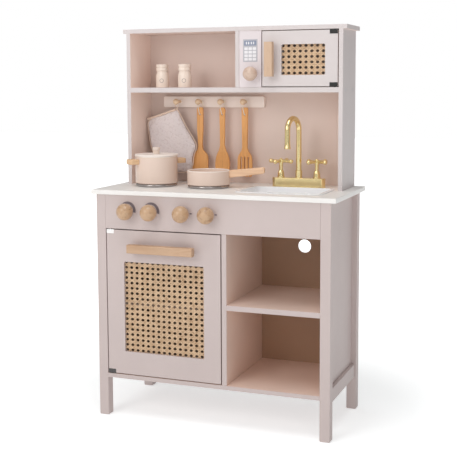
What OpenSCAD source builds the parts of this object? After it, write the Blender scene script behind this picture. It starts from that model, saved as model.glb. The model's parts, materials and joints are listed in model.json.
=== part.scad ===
// Toy play kitchen. A cabinet on four legs holds an oven and an open shelf bay under a worktop
// with a hob and a sink, and a hutch above it holds a shelf, a microwave and a utensil rail.
// Origin: on the floor, under the centre of the bounding box. +X is right seen from the front,
// -Y is the front and +Z is up. All sizes are in millimetres.

/* [Worktop] */
// Width of the worktop
top_w = 600; // [596:1:606]
// Thickness of the worktop
top_t = 11; // [9:1:12]
// Height of the worktop's upper face
top_z = 550; // [548:1:552]
// How far the worktop passes the legs at each side
top_over_side = 12; // [10:1:14]
// How far the worktop passes the legs at the front
top_over_front = 4.5; // [2:0.5:8]
// How far the worktop passes the legs at the back
top_over_back = 7.5; // [4:0.5:10]

/* [Lower cabinet] */
// Side of a square leg
leg = 24; // [22:1:24]
// Depth of the leg frame, front face to back face
frame_d = 270; // [266:1:276]
// Thickness of the shelves and of the divider
board_t = 12; // [10:1:12]
// Thickness of the bottom panel and of the hutch boards
thin_t = 10; // [9:1:10]
// Thickness of the side panels between the legs
panel_t = 6; // [5:0.5:6]
// Thickness of the two back panels
back_t = 4.5; // [3:0.5:5]
// Height of the bottom panel's underside
floor_z = 95; // [93:1:97]
// Height of the front fascia board
fascia_h = 81; // [79:1:82]
// Centre of the upright divider, left to right
divider_x = 37; // [35:1:39]
// Centre height of the shelf in the open bay
bay_shelf_z = 288; // [280:1:296]
// Centre height of the shelf inside the oven
oven_shelf_z = 275; // [270:1:280]

/* [Oven door] */
// Gap around the door
door_gap = 2.5; // [2:0.5:3]
// Thickness of both doors
door_t = 10; // [9:1:10]
// Corner radius of both windows
window_r = 3; // [2:0.5:6]
// Thickness of the woven cane in both windows
cane_t = 2; // [1.5:0.5:3]
// Length of the oven handle
oven_handle_l = 165; // [150:1:170]

/* [Knobs] */
// Diameter of a stove knob
knob_d = 39.5; // [37:0.5:41]
// Height of the stove knobs
knob_z = 502; // [498:1:506]
// Diameter of the microwave knob
small_knob_d = 34; // [30:1:34]
// Diameter of a knob's shaft
shaft_d = 6; // [5:0.5:6]

/* [Hob and pans] */
// Outer diameter of a hob ring
ring_d = 101; // [98:1:104]
// Height of a hob ring
ring_h = 7.5; // [6:0.5:8]
// Outer diameter of the pot and of the pan
pot_d = 103.5; // [98:0.5:104]
// Height of the pot without its lid
pot_h = 66.5; // [60:0.5:70]
// Height of the pan
pan_h = 34.5; // [30:0.5:36]

/* [Sink and faucet] */
// Inner width of the basin
basin_w = 191; // [186:1:194]
// Inner depth of the basin, front to back
basin_d = 119; // [114:1:122]
// How deep the basin is below the worktop's upper face
basin_h = 50; // [40:1:52]
// Centre of the faucet, left to right
faucet_x = 152.5; // [148:0.5:157]
// Radius of the spout's arch
arch_r = 28; // [26:0.5:30]
// Diameter of the spout's pipe
pipe_d = 13; // [12:0.5:13]
// Turn of the spout from straight forward, towards the left
spout_turn = 12; // [0:1:20]

/* [Hutch] */
// Overall height of the kitchen
total_h = 933; // [930:1:936]
// Outer width of the hutch, over its side boards
hutch_w = 550; // [546:1:552]
// Distance from the legs' front faces to the hutch's front
hutch_set = 145; // [140:1:148]
// Depth of the hutch
hutch_d = 121.5; // [118:0.5:124]
// Width of the hutch's top board
hutch_top_w = 568; // [562:1:572]
// Centre height of the hutch shelf
hutch_shelf_z = 784; // [782:1:786]
// Centre of the hutch's upright divider, left to right
hutch_divider_x = 17; // [15:1:19]
// Width of the microwave's control panel
control_w = 55.5; // [54:0.5:56]

/* [Utensils] */
// Distance between the pegs on the rail
peg_pitch = 60; // [60:0.5:61]
// Diameter of a peg
peg_d = 8; // [6:1:8]
// Thickness of the wooden utensils
utensil_t = 6; // [4:0.5:6]

/* [Hidden] */
$fn = 64;

// Running clearance of every pin and shaft, on the radius
play = 0.05;

// Where the frame stands: the knobs reach furthest forward, the worktop furthest back
knob_neck = 1;
knob_reach = knob_neck + knob_d;
front = knob_reach - (knob_reach + frame_d + top_over_back) / 2;
back = front + frame_d;
half_w = top_w / 2 - top_over_side;
under_top = top_z - top_t;
leg_in = half_w - leg;
foot_chamfer = 1.5;

// Side panels stand behind the legs' outer faces, with a rail along the foot of each
panel_out = half_w - 13;
panel_in = panel_out - panel_t;
rail_z = [82, 114];
rail_t = 9;
low_back = [back - leg + 5, back - leg + 5 + back_t];
floor_top = floor_z + thin_t;

// Front fascia, divider and shelves
fascia_z = under_top - fascia_h;
fascia_t = 12;
divider = [divider_x - board_t / 2, divider_x + board_t / 2];
oven_shelf_set = 16;
cable_hole_d = 33;
cable_hole = [154, 398.5];

// Oven door
oven_x = [-leg_in + door_gap, divider[0] - door_gap];
oven_z = [floor_top + door_gap, fascia_z - door_gap];
oven_window_x = [oven_x[0] + 44.5, oven_x[1] - 41.5];
oven_window_z = [oven_z[0] + 55, oven_z[1] - 75.5];
oven_handle_x = (oven_x[0] + oven_x[1]) / 2 + 3;
oven_handle_z = 415.5;
handle_bar = [20, 16];
handle_gap = 12;
handle_post_d = 10;

// Hinge clips: a plate folded round a door's corner, with a pin that turns in the frame
clip_w = 19;
clip_h = 9;
clip_t = 0.8;
pin_d = 4;
pin_in = 8;
pin_l = 6;
bore_l = 7;
magnet = [12, 10, 24];
strike_t = 0.8;

// Hutch
hutch_front = front + hutch_set;
hutch_back = hutch_front + hutch_d;
hutch_half = hutch_w / 2;
hutch_in = hutch_half - thin_t;
hutch_back_in = hutch_back - back_t;
hutch_top_over_back = 2.5;
shelf_top = hutch_shelf_z + board_t / 2;
hutch_divider = [hutch_divider_x - thin_t / 2, hutch_divider_x + thin_t / 2];
top_under = total_h - thin_t;

// Microwave
control_x = [hutch_divider[1], hutch_divider[1] + control_w];
control_set = 1;
mw_x = [control_x[1] + door_gap, hutch_in - door_gap];
mw_z = [shelf_top + 2, top_under - 2];
mw_window_x = [mw_x[0] + 47, mw_x[1] - 30];
mw_window_z = [mw_z[0] + 26.5, mw_z[1] - 31.5];
mw_handle_x = mw_x[0] + 23;
mw_handle_z = 855;
mw_handle_l = 80;
small_knob = [control_x[0] + 33.5, 822];
label_x = [32, 68];
label_z = [850, 903];
label_t = 0.4;

// Knobs on the fascia
knob_x = [-203, -142, -61, 1];
nut_d = 12;
nut_t = 3;

// Hob, pot and pan
hob_y = front + 130;
hob_x = [-190, -51.5];
pot_z = top_z + ring_h;
wall_t = 4;
base_t = 5;
lid_d = 105.5;
lid_t = 4;
lid_plug = 3;
lid_knob_h = 17;
pot_handle_turn = 44;
pan_handle_turn = 12;
pan_handle_end = 136;

// Sink and faucet
basin_x = 147.5;
basin_y = front + 113.5;
basin_t = 3;
basin_r = 12;
flange_w = 10;
flange_t = 2;
base_block = [132, 24, 22.5];
collar_h = 18;
bell_ring = [18.5, 3];
faucet_y = front + 205;
handle_pitch = 45;
block_top = top_z + base_block[2];
riser_top = 688;
tip_z = 645;
tip_d = 16.5;
pivot_l = 12;
stem_d = 9;
cross_z = 612;
cross_r = 27.5;
cross_ball_d = 11;
cross_arm_d = 7;
cross_turn = [-12, -30];

// Utensil rail
rail_board_x = [-223, 49];
rail_board_z = [740, 767];
rail_board_t = 12;
peg_x = -178;
peg_z = 754;
peg_head_d = 15;
peg_l = 32.5;
rail_front = hutch_back_in - rail_board_t;
utensil_y = [rail_front - 13, rail_front - 13 + utensil_t];
utensil_top = 740;
utensil_low = 568;
hang_z = 722;
hang_d = 5;
string_d = 1.8;
mitt_y = [rail_front - 25.5, rail_front - 15.5];
mitt_top = 737;

// Shakers: where each stands and its turned outline
shaker_at = [[-200, hutch_front + 48], [-136, hutch_front + 40]];

// Screws: head and shank, and where each kind goes
screw_head = [7, 1.2];
screw_shank = [3.5, 28];
hutch_screw_y = [hutch_front + 28, hutch_front + 92];
cabinet_screw_y = [front + 58, back - 33];

paint = "#cdbfb9";
paint_light = "#e0d6d2";
worktop_white = "#f3f0ec";
oak = "#dfba92";
beech = "#c38e58";
gold = "#cfae62";
steel = "#c4c4c6";
dark_steel = "#8a8684";
cane = "#cfae82";
cream = "#ecd9c8";
cloth = "#cfc9cb";

// A box from ranges along X, Y and Z
module block(x, y, z) {
    translate([x[0], y[0], z[0]])
        cube([x[1] - x[0], y[1] - y[0], z[1] - z[0]]);
}

// A rectangle with round corners, centred
module round_rect(w, h, r) {
    square([w - 2 * r, h], center = true);
    square([w, h - 2 * r], center = true);
    for (sx = [-1, 1], sy = [-1, 1])
        translate([sx * (w / 2 - r), sy * (h / 2 - r)])
            circle(r = r);
}

// An upright board in the XZ plane with round corners
module upright(x, y, z, r) {
    translate([(x[0] + x[1]) / 2, y[1], (z[0] + z[1]) / 2])
        rotate([90, 0, 0])
            linear_extrude(y[1] - y[0])
                round_rect(x[1] - x[0], z[1] - z[0], r);
}

// A cylinder along Y at (x, z)
module rod_y(x, z, y, d) {
    translate([x, y[1], z])
        rotate([90, 0, 0])
            cylinder(h = y[1] - y[0], d = d);
}

// An upright cylinder at (x, y)
module rod_z(x, y, z, d) {
    translate([x, y, z[0]])
        cylinder(h = z[1] - z[0], d = d);
}

// A screw whose head is flush with the plane z = 0 and whose shank points down
module screw() {
    translate([0, 0, -screw_head[1]])
        cylinder(h = screw_head[1], d = screw_head[0]);
    translate([0, 0, -screw_shank[1]])
        cylinder(h = screw_shank[1] - screw_head[1], d = screw_shank[0]);
}

module side_screws(half, y_list, z, side) {
    for (y = y_list)
        translate([side * half, y, z])
            rotate([0, side * 90, 0])
                screw();
}

module hutch_screws() {
    for (side = [-1, 1]) {
        side_screws(hutch_half, hutch_screw_y, hutch_shelf_z, side);
        for (y = hutch_screw_y)
            translate([side * (hutch_half - thin_t / 2), y, total_h])
                screw();
    }
}

module cabinet_screws() {
    side_screws(panel_out, cabinet_screw_y, bay_shelf_z, 1);
    side_screws(panel_out, cabinet_screw_y, oven_shelf_z, -1);
}

module screws() {
    color(steel) {
        hutch_screws();
        cabinet_screws();
    }
}

// Legs: square posts with a small chamfer round the foot
module foot_profile() {
    h = leg / 2;
    c = foot_chamfer;
    polygon([[c - h, 0], [h - c, 0], [h, c], [h, under_top], [-h, under_top], [-h, c]]);
}

module leg_post(side, y) {
    color(paint)
        translate([side * (half_w - leg / 2), y + leg / 2, 0])
            intersection() {
                rotate([90, 0, 0])
                    linear_extrude(leg, center = true)
                        foot_profile();
                rotate([90, 0, 90])
                    linear_extrude(leg, center = true)
                        foot_profile();
            }
}

module side_panel(side) {
    color(paint)
        difference() {
            block(side > 0 ? [panel_in, panel_out] : [-panel_out, -panel_in],
                  [front + leg, back - leg], [rail_z[0] + 4, under_top]);
            cabinet_screws();
        }
}

module side_rails() {
    color(paint)
        for (side = [-1, 1])
            block(side > 0 ? [panel_out, panel_out + rail_t] : [-panel_out - rail_t, -panel_out],
                  [front + leg, back - leg], rail_z);
}

// A level board that fits round the legs. Each end goes out to the side panel on its side
// (-1 left, 1 right), or stops at the divider where the end is 0.
module deck(ends, y, z) {
    inner = [for (i = [0, 1]) ends[i] == 0 ? divider[1 - i] : ends[i] * leg_in];
    outer = [for (i = [0, 1]) ends[i] == 0 ? divider[1 - i] : ends[i] * panel_in];
    block(inner, [y, low_back[0]], z);
    block(outer, [front + leg, back - leg], z);
}

module bottom_panel() {
    color(paint)
        difference() {
            deck([-1, 1], front, [floor_z, floor_top]);
            rod_z(oven_x[0] + pin_in, front + door_t / 2, [floor_z, floor_top], pin_d + 2 * play);
        }
}

module centre_divider() {
    color(paint)
        difference() {
            block(divider, [front, low_back[0]], [floor_top, under_top]);
            block(divider, [front, front + fascia_t], [fascia_z, under_top]);
        }
}

module bay_shelf() {
    color(paint)
        difference() {
            deck([0, 1], front, [bay_shelf_z - board_t / 2, bay_shelf_z + board_t / 2]);
            cabinet_screws();
        }
}

module oven_shelf() {
    color(paint)
        difference() {
            deck([-1, 0], front + oven_shelf_set,
                 [oven_shelf_z - board_t / 2, oven_shelf_z + board_t / 2]);
            cabinet_screws();
        }
}

module front_fascia() {
    color(paint)
        difference() {
            block([-leg_in, leg_in], [front, front + fascia_t], [fascia_z, under_top]);
            for (x = knob_x)
                rod_y(x, knob_z, [front, front + fascia_t], shaft_d + 2 * play);
            rod_z(oven_x[0] + pin_in, front + door_t / 2, [fascia_z, fascia_z + bore_l],
                  pin_d + 2 * play);
        }
}

module lower_back_panel() {
    color(paint)
        difference() {
            block([-leg_in, leg_in], low_back, [floor_z, under_top]);
            rod_y(cable_hole[0], cable_hole[1], low_back, cable_hole_d);
        }
}

// Basin outline seen from above, grown by a margin on every side
module basin_outline(margin) {
    translate([basin_x, basin_y])
        round_rect(basin_w + 2 * margin, basin_d + 2 * margin, basin_r + margin);
}

module worktop() {
    color(worktop_white)
        difference() {
            block([-top_w / 2, top_w / 2], [front - top_over_front, back + top_over_back],
                  [under_top, top_z]);
            translate([0, 0, under_top])
                linear_extrude(top_t)
                    basin_outline(basin_t + 0.5);
        }
}

module sink_basin() {
    color("white")
        difference() {
            union() {
                translate([0, 0, top_z])
                    linear_extrude(flange_t)
                        basin_outline(flange_w);
                translate([0, 0, top_z - basin_h - basin_t])
                    linear_extrude(basin_h + basin_t)
                        basin_outline(basin_t);
            }
            translate([0, 0, top_z - basin_h])
                linear_extrude(basin_h + flange_t)
                    basin_outline(0);
        }
}

// Hob rings: a round-edged ring with a thin plate across its middle
module hob_rings() {
    lip = ring_h / 2;
    color(dark_steel)
        for (x = hob_x)
            translate([x, hob_y, top_z]) {
                rotate_extrude() {
                    translate([ring_d / 2 - 14, 0])
                        square([14 - lip, ring_h]);
                    translate([ring_d / 2 - lip, lip])
                        circle(r = lip);
                }
                cylinder(h = 3, d = ring_d - 28);
            }
}

module hutch_side(side) {
    color(paint_light)
        difference() {
            block(side > 0 ? [hutch_in, hutch_half] : [-hutch_half, -hutch_in],
                  [hutch_front, hutch_back], [top_z, top_under]);
            hutch_screws();
        }
}

module hutch_top() {
    color(paint_light)
        difference() {
            block([-hutch_top_w / 2, hutch_top_w / 2],
                  [hutch_front, hutch_back + hutch_top_over_back], [top_under, total_h]);
            hutch_screws();
            rod_z(mw_x[1] - pin_in, hutch_front + door_t / 2, [top_under, top_under + bore_l],
                  pin_d + 2 * play);
        }
}

module hutch_shelf() {
    color(paint_light)
        difference() {
            block([-hutch_in, hutch_in], [hutch_front, hutch_back_in],
                  [hutch_shelf_z - board_t / 2, shelf_top]);
            hutch_screws();
            rod_z(mw_x[1] - pin_in, hutch_front + door_t / 2, [shelf_top - bore_l, shelf_top],
                  pin_d + 2 * play);
        }
}

module hutch_divider() {
    color(paint_light)
        block(hutch_divider, [hutch_front, hutch_back_in], [shelf_top, top_under]);
}

module hutch_back_panel() {
    color(paint_light)
        block([-hutch_in, hutch_in], [hutch_back_in, hutch_back], [top_z, top_under]);
}

module control_panel() {
    y = [hutch_front + control_set, hutch_front + control_set + thin_t];
    color(paint_light)
        difference() {
            block(control_x, y, [shelf_top, top_under]);
            rod_y(small_knob[0], small_knob[1], y, shaft_d + 2 * play);
        }
}

module keypad_label() {
    y = hutch_front + control_set;
    color("#d9dde2")
        block(label_x, [y - label_t, y], label_z);
}

module hook_rail() {
    color(paint_light)
        difference() {
            upright(rail_board_x, [rail_front, hutch_back_in], rail_board_z, 4);
            for (i = [0:3])
                rod_y(peg_x + i * peg_pitch, peg_z, [rail_front, rail_front + 8], peg_d);
        }
}

module hook_pegs() {
    color(oak)
        for (i = [0:3]) {
            x = peg_x + i * peg_pitch;
            rod_y(x, peg_z, [rail_front - peg_l + peg_head_d / 2, rail_front + 8], peg_d);
            translate([x, rail_front - peg_l + peg_head_d / 2, peg_z])
                sphere(d = peg_head_d);
        }
}

module door_magnets() {
    color("white") {
        block([divider[0] - magnet[0], divider[0]],
              [front + door_t + 1, front + door_t + 1 + magnet[1]],
              [oven_z[1] - 30, oven_z[1] - 30 + magnet[2]]);
        block([control_x[1] - magnet[0], control_x[1] + magnet[0]],
              [hutch_front + control_set + thin_t, hutch_front + control_set + thin_t + magnet[1]],
              [855, 855 + magnet[2]]);
    }
}

// A door board with a window, rebated at the back for the cane and its bead
module door_frame(x, y, z, window_x, window_z) {
    difference() {
        block(x, y, z);
        upright(window_x, [y[0], y[1]], window_z, window_r);
        upright([window_x[0] - 8, window_x[1] + 8], [y[0] + 5, y[1]],
                [window_z[0] - 8, window_z[1] + 8], window_r);
    }
}

module door_cane(y, window_x, window_z) {
    upright([window_x[0] - 8, window_x[1] + 8], [y[0] + 5, y[0] + 5 + cane_t],
            [window_z[0] - 8, window_z[1] + 8], window_r);
}

module door_bead(y, window_x, window_z) {
    difference() {
        upright([window_x[0] - 8, window_x[1] + 8], [y[0] + 5 + cane_t, y[1]],
                [window_z[0] - 8, window_z[1] + 8], window_r);
        upright(window_x, [y[0] + 5 + cane_t, y[1]], window_z, window_r);
    }
}

// One hinge clip round a door's corner; up is 1 at the top of the door and -1 at its foot
module hinge_clip(x, y, edge_z, pin_x, up) {
    z = up > 0 ? [edge_z - clip_h, edge_z] : [edge_z, edge_z + clip_h];
    cap = up > 0 ? [edge_z, edge_z + clip_t] : [edge_z - clip_t, edge_z];
    pin = up > 0 ? [edge_z + clip_t, edge_z + clip_t + pin_l]
                 : [edge_z - clip_t - pin_l, edge_z - clip_t];
    block(x, [y[0] - clip_t, y[0]], z);
    block(x, [y[1], y[1] + clip_t], z);
    block(x, [y[0] - clip_t, y[1] + clip_t], cap);
    rod_z(pin_x, (y[0] + y[1]) / 2, pin, pin_d);
}

oven_y = [front, front + door_t];
mw_y = [hutch_front, hutch_front + door_t];
post_in = 25;

module oven_door_frame() {
    color(paint)
        difference() {
            door_frame(oven_x, oven_y, oven_z, oven_window_x, oven_window_z);
            oven_handle_screws();
        }
}

module oven_door_cane() {
    color(cane)
        door_cane(oven_y, oven_window_x, oven_window_z);
}

module oven_door_bead() {
    color(paint)
        door_bead(oven_y, oven_window_x, oven_window_z);
}

// The screws that hold the oven handle, driven from inside the door
module oven_handle_screws() {
    for (s = [-1, 1]) {
        x = oven_handle_x + s * (oven_handle_l / 2 - post_in);
        rod_y(x, oven_handle_z, [front - handle_gap - 8, front + door_t], screw_shank[0]);
        rod_y(x, oven_handle_z, [front + door_t, front + door_t + 2], 8);
    }
}

module oven_door_handle() {
    y = [front - handle_gap - handle_bar[1], front - handle_gap];
    color(oak)
        difference() {
            union() {
                translate([oven_handle_x, (y[0] + y[1]) / 2, oven_handle_z])
                    rotate([90, 0, 90])
                        linear_extrude(oven_handle_l, center = true)
                            round_rect(handle_bar[1], handle_bar[0], 2);
                for (s = [-1, 1])
                    rod_y(oven_handle_x + s * (oven_handle_l / 2 - post_in), oven_handle_z,
                          [y[1], front], handle_post_d);
            }
            oven_handle_screws();
        }
}

module oven_door_hardware() {
    x = [oven_x[0], oven_x[0] + clip_w];
    color(steel) {
        hinge_clip(x, oven_y, oven_z[1], oven_x[0] + pin_in, 1);
        hinge_clip(x, oven_y, oven_z[0], oven_x[0] + pin_in, -1);
        block([oven_x[1] - 9, oven_x[1] - 1], [oven_y[1], oven_y[1] + strike_t],
              [oven_z[1] - 28, oven_z[1] - 8]);
        oven_handle_screws();
    }
}

module microwave_door_frame() {
    color(paint_light)
        difference() {
            door_frame(mw_x, mw_y, mw_z, mw_window_x, mw_window_z);
            microwave_handle_screws();
        }
}

module microwave_door_cane() {
    color(cane)
        door_cane(mw_y, mw_window_x, mw_window_z);
}

module microwave_door_bead() {
    color(paint_light)
        door_bead(mw_y, mw_window_x, mw_window_z);
}

module microwave_handle_screws() {
    for (s = [-1, 1]) {
        z = mw_handle_z + s * (mw_handle_l / 2 - 15);
        rod_y(mw_handle_x, z, [hutch_front - handle_gap - 8, hutch_front + door_t], screw_shank[0]);
        rod_y(mw_handle_x, z, [hutch_front + door_t, hutch_front + door_t + 2], 8);
    }
}

module microwave_door_handle() {
    y = [hutch_front - handle_gap - handle_bar[1], hutch_front - handle_gap];
    color(oak)
        difference() {
            union() {
                translate([mw_handle_x, (y[0] + y[1]) / 2, mw_handle_z])
                    linear_extrude(mw_handle_l, center = true)
                        round_rect(handle_bar[0], handle_bar[1], 2);
                for (s = [-1, 1])
                    rod_y(mw_handle_x, mw_handle_z + s * (mw_handle_l / 2 - 15),
                          [y[1], hutch_front], handle_post_d);
            }
            microwave_handle_screws();
        }
}

module microwave_door_hardware() {
    x = [mw_x[1] - clip_w, mw_x[1]];
    color("#3a3a3c") {
        hinge_clip(x, mw_y, mw_z[1], mw_x[1] - pin_in, 1);
        hinge_clip(x, mw_y, mw_z[0], mw_x[1] - pin_in, -1);
        block([mw_x[0] + 1, mw_x[0] + 8.5], [mw_y[1], mw_y[1] + strike_t], [857, 877]);
        microwave_handle_screws();
    }
}

// A turned wooden ball on a short neck, with its shaft and the nut behind the board
module knob(x, z, y, board, d) {
    color(oak)
        difference() {
            union() {
                translate([x, y - knob_neck - d / 2, z])
                    sphere(d = d);
                rod_y(x, z, [y - knob_neck - 3, y - 0.8], 14);
            }
            rod_y(x, z, [y - knob_neck - d / 2, y], shaft_d);
        }
    color(steel) {
        rod_y(x, z, [y - knob_neck - d / 2, y + board + 0.3], shaft_d);
        rod_y(x, z, [y + board + 0.3, y + board + 0.3 + nut_t], nut_d);
    }
}

module stove_knob(i) {
    knob(knob_x[i], knob_z, front, fascia_t, knob_d);
}

module microwave_knob() {
    knob(small_knob[0], small_knob[1], hutch_front + control_set, thin_t, small_knob_d);
}

// Faucet: a block with a collar for the spout and a bell for each cross handle
module faucet_base() {
    color(gold)
        difference() {
            union() {
                translate([faucet_x, faucet_y, top_z])
                    linear_extrude(base_block[2])
                        round_rect(base_block[0], base_block[1], base_block[1] / 2 - 0.01);
                rod_z(faucet_x, faucet_y, [block_top, block_top + collar_h], pipe_d + 3.5);
                for (s = [-1, 1])
                    translate([faucet_x + s * handle_pitch, faucet_y, block_top]) {
                        cylinder(h = bell_ring[1], d = bell_ring[0]);
                        cylinder(h = collar_h - 6, d1 = bell_ring[0] - 1.5, d2 = stem_d + 6);
                        translate([0, 0, collar_h - 6])
                            cylinder(h = 6, d1 = stem_d + 6, d2 = stem_d + 2.5);
                    }
            }
            rod_z(faucet_x, faucet_y, [block_top - pivot_l, block_top + collar_h],
                  pipe_d + 2 * play);
            for (s = [-1, 1])
                rod_z(faucet_x + s * handle_pitch, faucet_y,
                      [block_top - pivot_l, block_top + collar_h], stem_d + 2 * play);
        }
}

module faucet_spout() {
    color(gold)
        translate([faucet_x, faucet_y, 0])
            rotate([0, 0, -spout_turn]) {
                rod_z(0, 0, [block_top - pivot_l, riser_top], pipe_d);
                translate([0, -arch_r, riser_top])
                    rotate([90, 0, 90])
                        rotate_extrude(angle = 180)
                            translate([arch_r, 0])
                                circle(d = pipe_d);
                rod_z(0, -2 * arch_r, [tip_z + 16, riser_top], pipe_d);
                translate([0, -2 * arch_r, tip_z + 2])
                    cylinder(h = 14, d1 = tip_d, d2 = pipe_d);
                rod_z(0, -2 * arch_r, [tip_z, tip_z + 2], tip_d);
            }
}

module cross_handle(side, turn) {
    color(gold)
        translate([faucet_x + side * handle_pitch, faucet_y, 0])
            rotate([0, 0, turn]) {
                rod_z(0, 0, [block_top - pivot_l, cross_z], stem_d);
                rod_z(0, 0, [cross_z - 4.5, cross_z + 4.5], stem_d + 2.5);
                translate([0, 0, cross_z + 3.5])
                    sphere(d = 8);
                for (a = [0:90:270])
                    rotate([0, 90, a]) {
                        translate([-cross_z, 0, 0])
                            cylinder(h = cross_r, d = cross_arm_d);
                        translate([-cross_z, 0, cross_r])
                            sphere(d = cross_ball_d);
                    }
            }
}

// Pot, lid and pan
module vessel(x, h) {
    translate([x, hob_y, pot_z])
        rotate_extrude()
            polygon([[0, 0], [pot_d / 2 - 3, 0], [pot_d / 2, 3], [pot_d / 2, h],
                     [pot_d / 2 - wall_t, h], [pot_d / 2 - wall_t, base_t], [0, base_t]]);
}

module pot_body() {
    color(cream)
        vessel(hob_x[0], pot_h);
}

module pot_handles() {
    color(oak)
        translate([hob_x[0], hob_y, pot_z + pot_h - 13.5])
            rotate([0, 0, pot_handle_turn])
                difference() {
                    translate([0, 0, -6])
                        linear_extrude(12)
                            round_rect(148, 34, 10);
                    translate([0, 0, -7])
                        cylinder(h = 14, d = pot_d);
                }
}

module pot_lid() {
    z = pot_z + pot_h;
    color(cream)
        translate([hob_x[0], hob_y, z]) {
            cylinder(h = lid_t, d = lid_d);
            translate([0, 0, -lid_plug])
                cylinder(h = lid_plug, d = pot_d - 2 * wall_t - 1);
        }
}

module lid_knob() {
    z = pot_z + pot_h + lid_t;
    color(oak)
        translate([hob_x[0], hob_y, z])
            rotate_extrude()
                polygon([[0, 0], [7.8, 0], [7.8, 8], [8.4, 9], [9.4, 9.5],
                         [9.4, lid_knob_h - 1.5], [8.2, lid_knob_h], [0, lid_knob_h]]);
}

module pan_body() {
    color(cream)
        vessel(hob_x[1], pan_h);
}

module pan_handle() {
    color(oak)
        translate([hob_x[1], hob_y, pot_z + pan_h])
            rotate([0, 0, pan_handle_turn])
                difference() {
                    rotate([90, 0, 0])
                        linear_extrude(18, center = true)
                            polygon([[40, -19], [40, -1], [pan_handle_end - 3, 7.3],
                                     [pan_handle_end, 5], [pan_handle_end, -5],
                                     [pan_handle_end - 3, -7.5]]);
                    translate([0, 0, -30])
                        cylinder(h = 50, d = pot_d);
                }
}

// Utensils: flat wooden outlines, hung by a string loop over a peg. Outlines are half
// outlines about the handle's centre line, as [half width, height].
module utensil(i, half) {
    x = peg_x + i * peg_pitch;
    n = len(half);
    difference() {
        translate([x, utensil_y[1], 0])
            rotate([90, 0, 0])
                linear_extrude(utensil_t)
                    polygon(concat(half, [for (k = [n - 1:-1:0]) [-half[k][0], half[k][1]]]));
        rod_y(x, hang_z, utensil_y, hang_d);
    }
}

// A hanging loop: round the peg at the top, in front of the hanging hole at the foot
module string_loop(x, low, y, d) {
    r = peg_d / 2 + 0.4 + d / 2;
    color("#efe6d6")
        translate([x, y, 0]) {
            translate([0, 0, peg_z])
                rotate([90, 0, 0])
                    rotate_extrude(angle = 180)
                        translate([r, 0])
                            circle(d = d, $fn = 24);
            translate([0, 0, low])
                rotate([-90, 0, 0])
                    rotate_extrude(angle = 180)
                        translate([r, 0])
                            circle(d = d, $fn = 24);
            for (s = [-1, 1])
                rod_z(s * r, 0, [low, peg_z], d);
        }
}

string_y = utensil_y[0] - string_d / 2 - 0.4;

module spatula() {
    color(beech)
        utensil(1, [[6, utensil_top], [8, utensil_top - 4], [8, 690], [5.5, 645], [7, 633],
                    [18, 622], [20.5, 614], [21, 580], [19.5, utensil_low + 2],
                    [17, utensil_low]]);
    string_loop(peg_x + peg_pitch, hang_z, string_y, string_d);
}

module spoon() {
    bowl = [for (a = [60:-15:-75]) [19.5 * cos(a), 595 + (a > 0 ? 42 : 27) * sin(a)]];
    color(beech)
        utensil(2, concat([[5, utensil_top], [7.5, utensil_top - 5], [6, 645]], bowl));
    string_loop(peg_x + 2 * peg_pitch, hang_z, string_y, string_d);
}

module fork() {
    x = peg_x + 3 * peg_pitch;
    color(beech)
        difference() {
            utensil(3, [[6, utensil_top], [8, utensil_top - 4], [6.5, 640], [9, 632], [17, 620],
                        [19, 611], [19, 574], [16.5, utensil_low]]);
            for (s = [-1:1])
                upright([x + 9.5 * s - 1.7, x + 9.5 * s + 1.7], [utensil_y[0], utensil_y[1]],
                        [utensil_low - 10, 618], 1.6);
        }
    string_loop(x, hang_z, string_y, string_d);
}

// Oven mitt: a padded hand shape hung by a loop at the corner of its cuff
module oven_mitt() {
    color(cloth)
        translate([0, mitt_y[1], 0])
            rotate([90, 0, 0])
                linear_extrude(mitt_y[1] - mitt_y[0])
                    polygon([[-180, mitt_top], [-173, 733], [-152, 694], [-124, 651], [-123, 638],
                             [-131, 617], [-133, 592], [-146, 575], [-183, 571], [-217, 578],
                             [-240, 604], [-252, 635], [-258, 669], [-262, 711]]);
    string_loop(peg_x, mitt_top - 8, mitt_y[1] - string_d, string_d);
}

// Shakers: a turned body, a neck and a cap with a groove round it
module shaker(i) {
    color(cream)
        translate([shaker_at[i][0], shaker_at[i][1], shelf_top])
            rotate_extrude()
                polygon([[0, 0], [15.5, 0], [16.5, 1], [16.5, 29], [14, 37.5], [13.3, 40.5],
                         [15.6, 42], [15.6, 48], [14.2, 49], [14.2, 50], [15.6, 51],
                         [15.6, 56.6], [14.6, 57.6], [0, 57.6]]);
}

leg_post(-1, front);  // leg_front_left
leg_post(1, front);  // leg_front_right
leg_post(-1, back - leg);  // leg_rear_left
leg_post(1, back - leg);  // leg_rear_right
side_panel(-1);  // side_panel_left
side_panel(1);  // side_panel_right
side_rails();
bottom_panel();
centre_divider();
bay_shelf();
oven_shelf();
front_fascia();
lower_back_panel();
worktop();
sink_basin();
hob_rings();
hutch_side(-1);  // hutch_side_left
hutch_side(1);  // hutch_side_right
hutch_top();
hutch_shelf();
hutch_divider();
hutch_back_panel();
control_panel();
keypad_label();
hook_rail();
hook_pegs();
door_magnets();
screws();
faucet_base();
faucet_spout();
cross_handle(-1, cross_turn[0]);  // faucet_handle_left
cross_handle(1, cross_turn[1]);  // faucet_handle_right
oven_door_frame();
oven_door_cane();
oven_door_bead();
oven_door_handle();
oven_door_hardware();
microwave_door_frame();
microwave_door_cane();
microwave_door_bead();
microwave_door_handle();
microwave_door_hardware();
stove_knob(0);  // stove_knob_1
stove_knob(1);  // stove_knob_2
stove_knob(2);  // stove_knob_3
stove_knob(3);  // stove_knob_4
microwave_knob();
pot_body();
pot_handles();
pot_lid();
lid_knob();
pan_body();
pan_handle();
spatula();
spoon();
fork();
oven_mitt();
shaker(0);  // shaker_left
shaker(1);  // shaker_right
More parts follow.
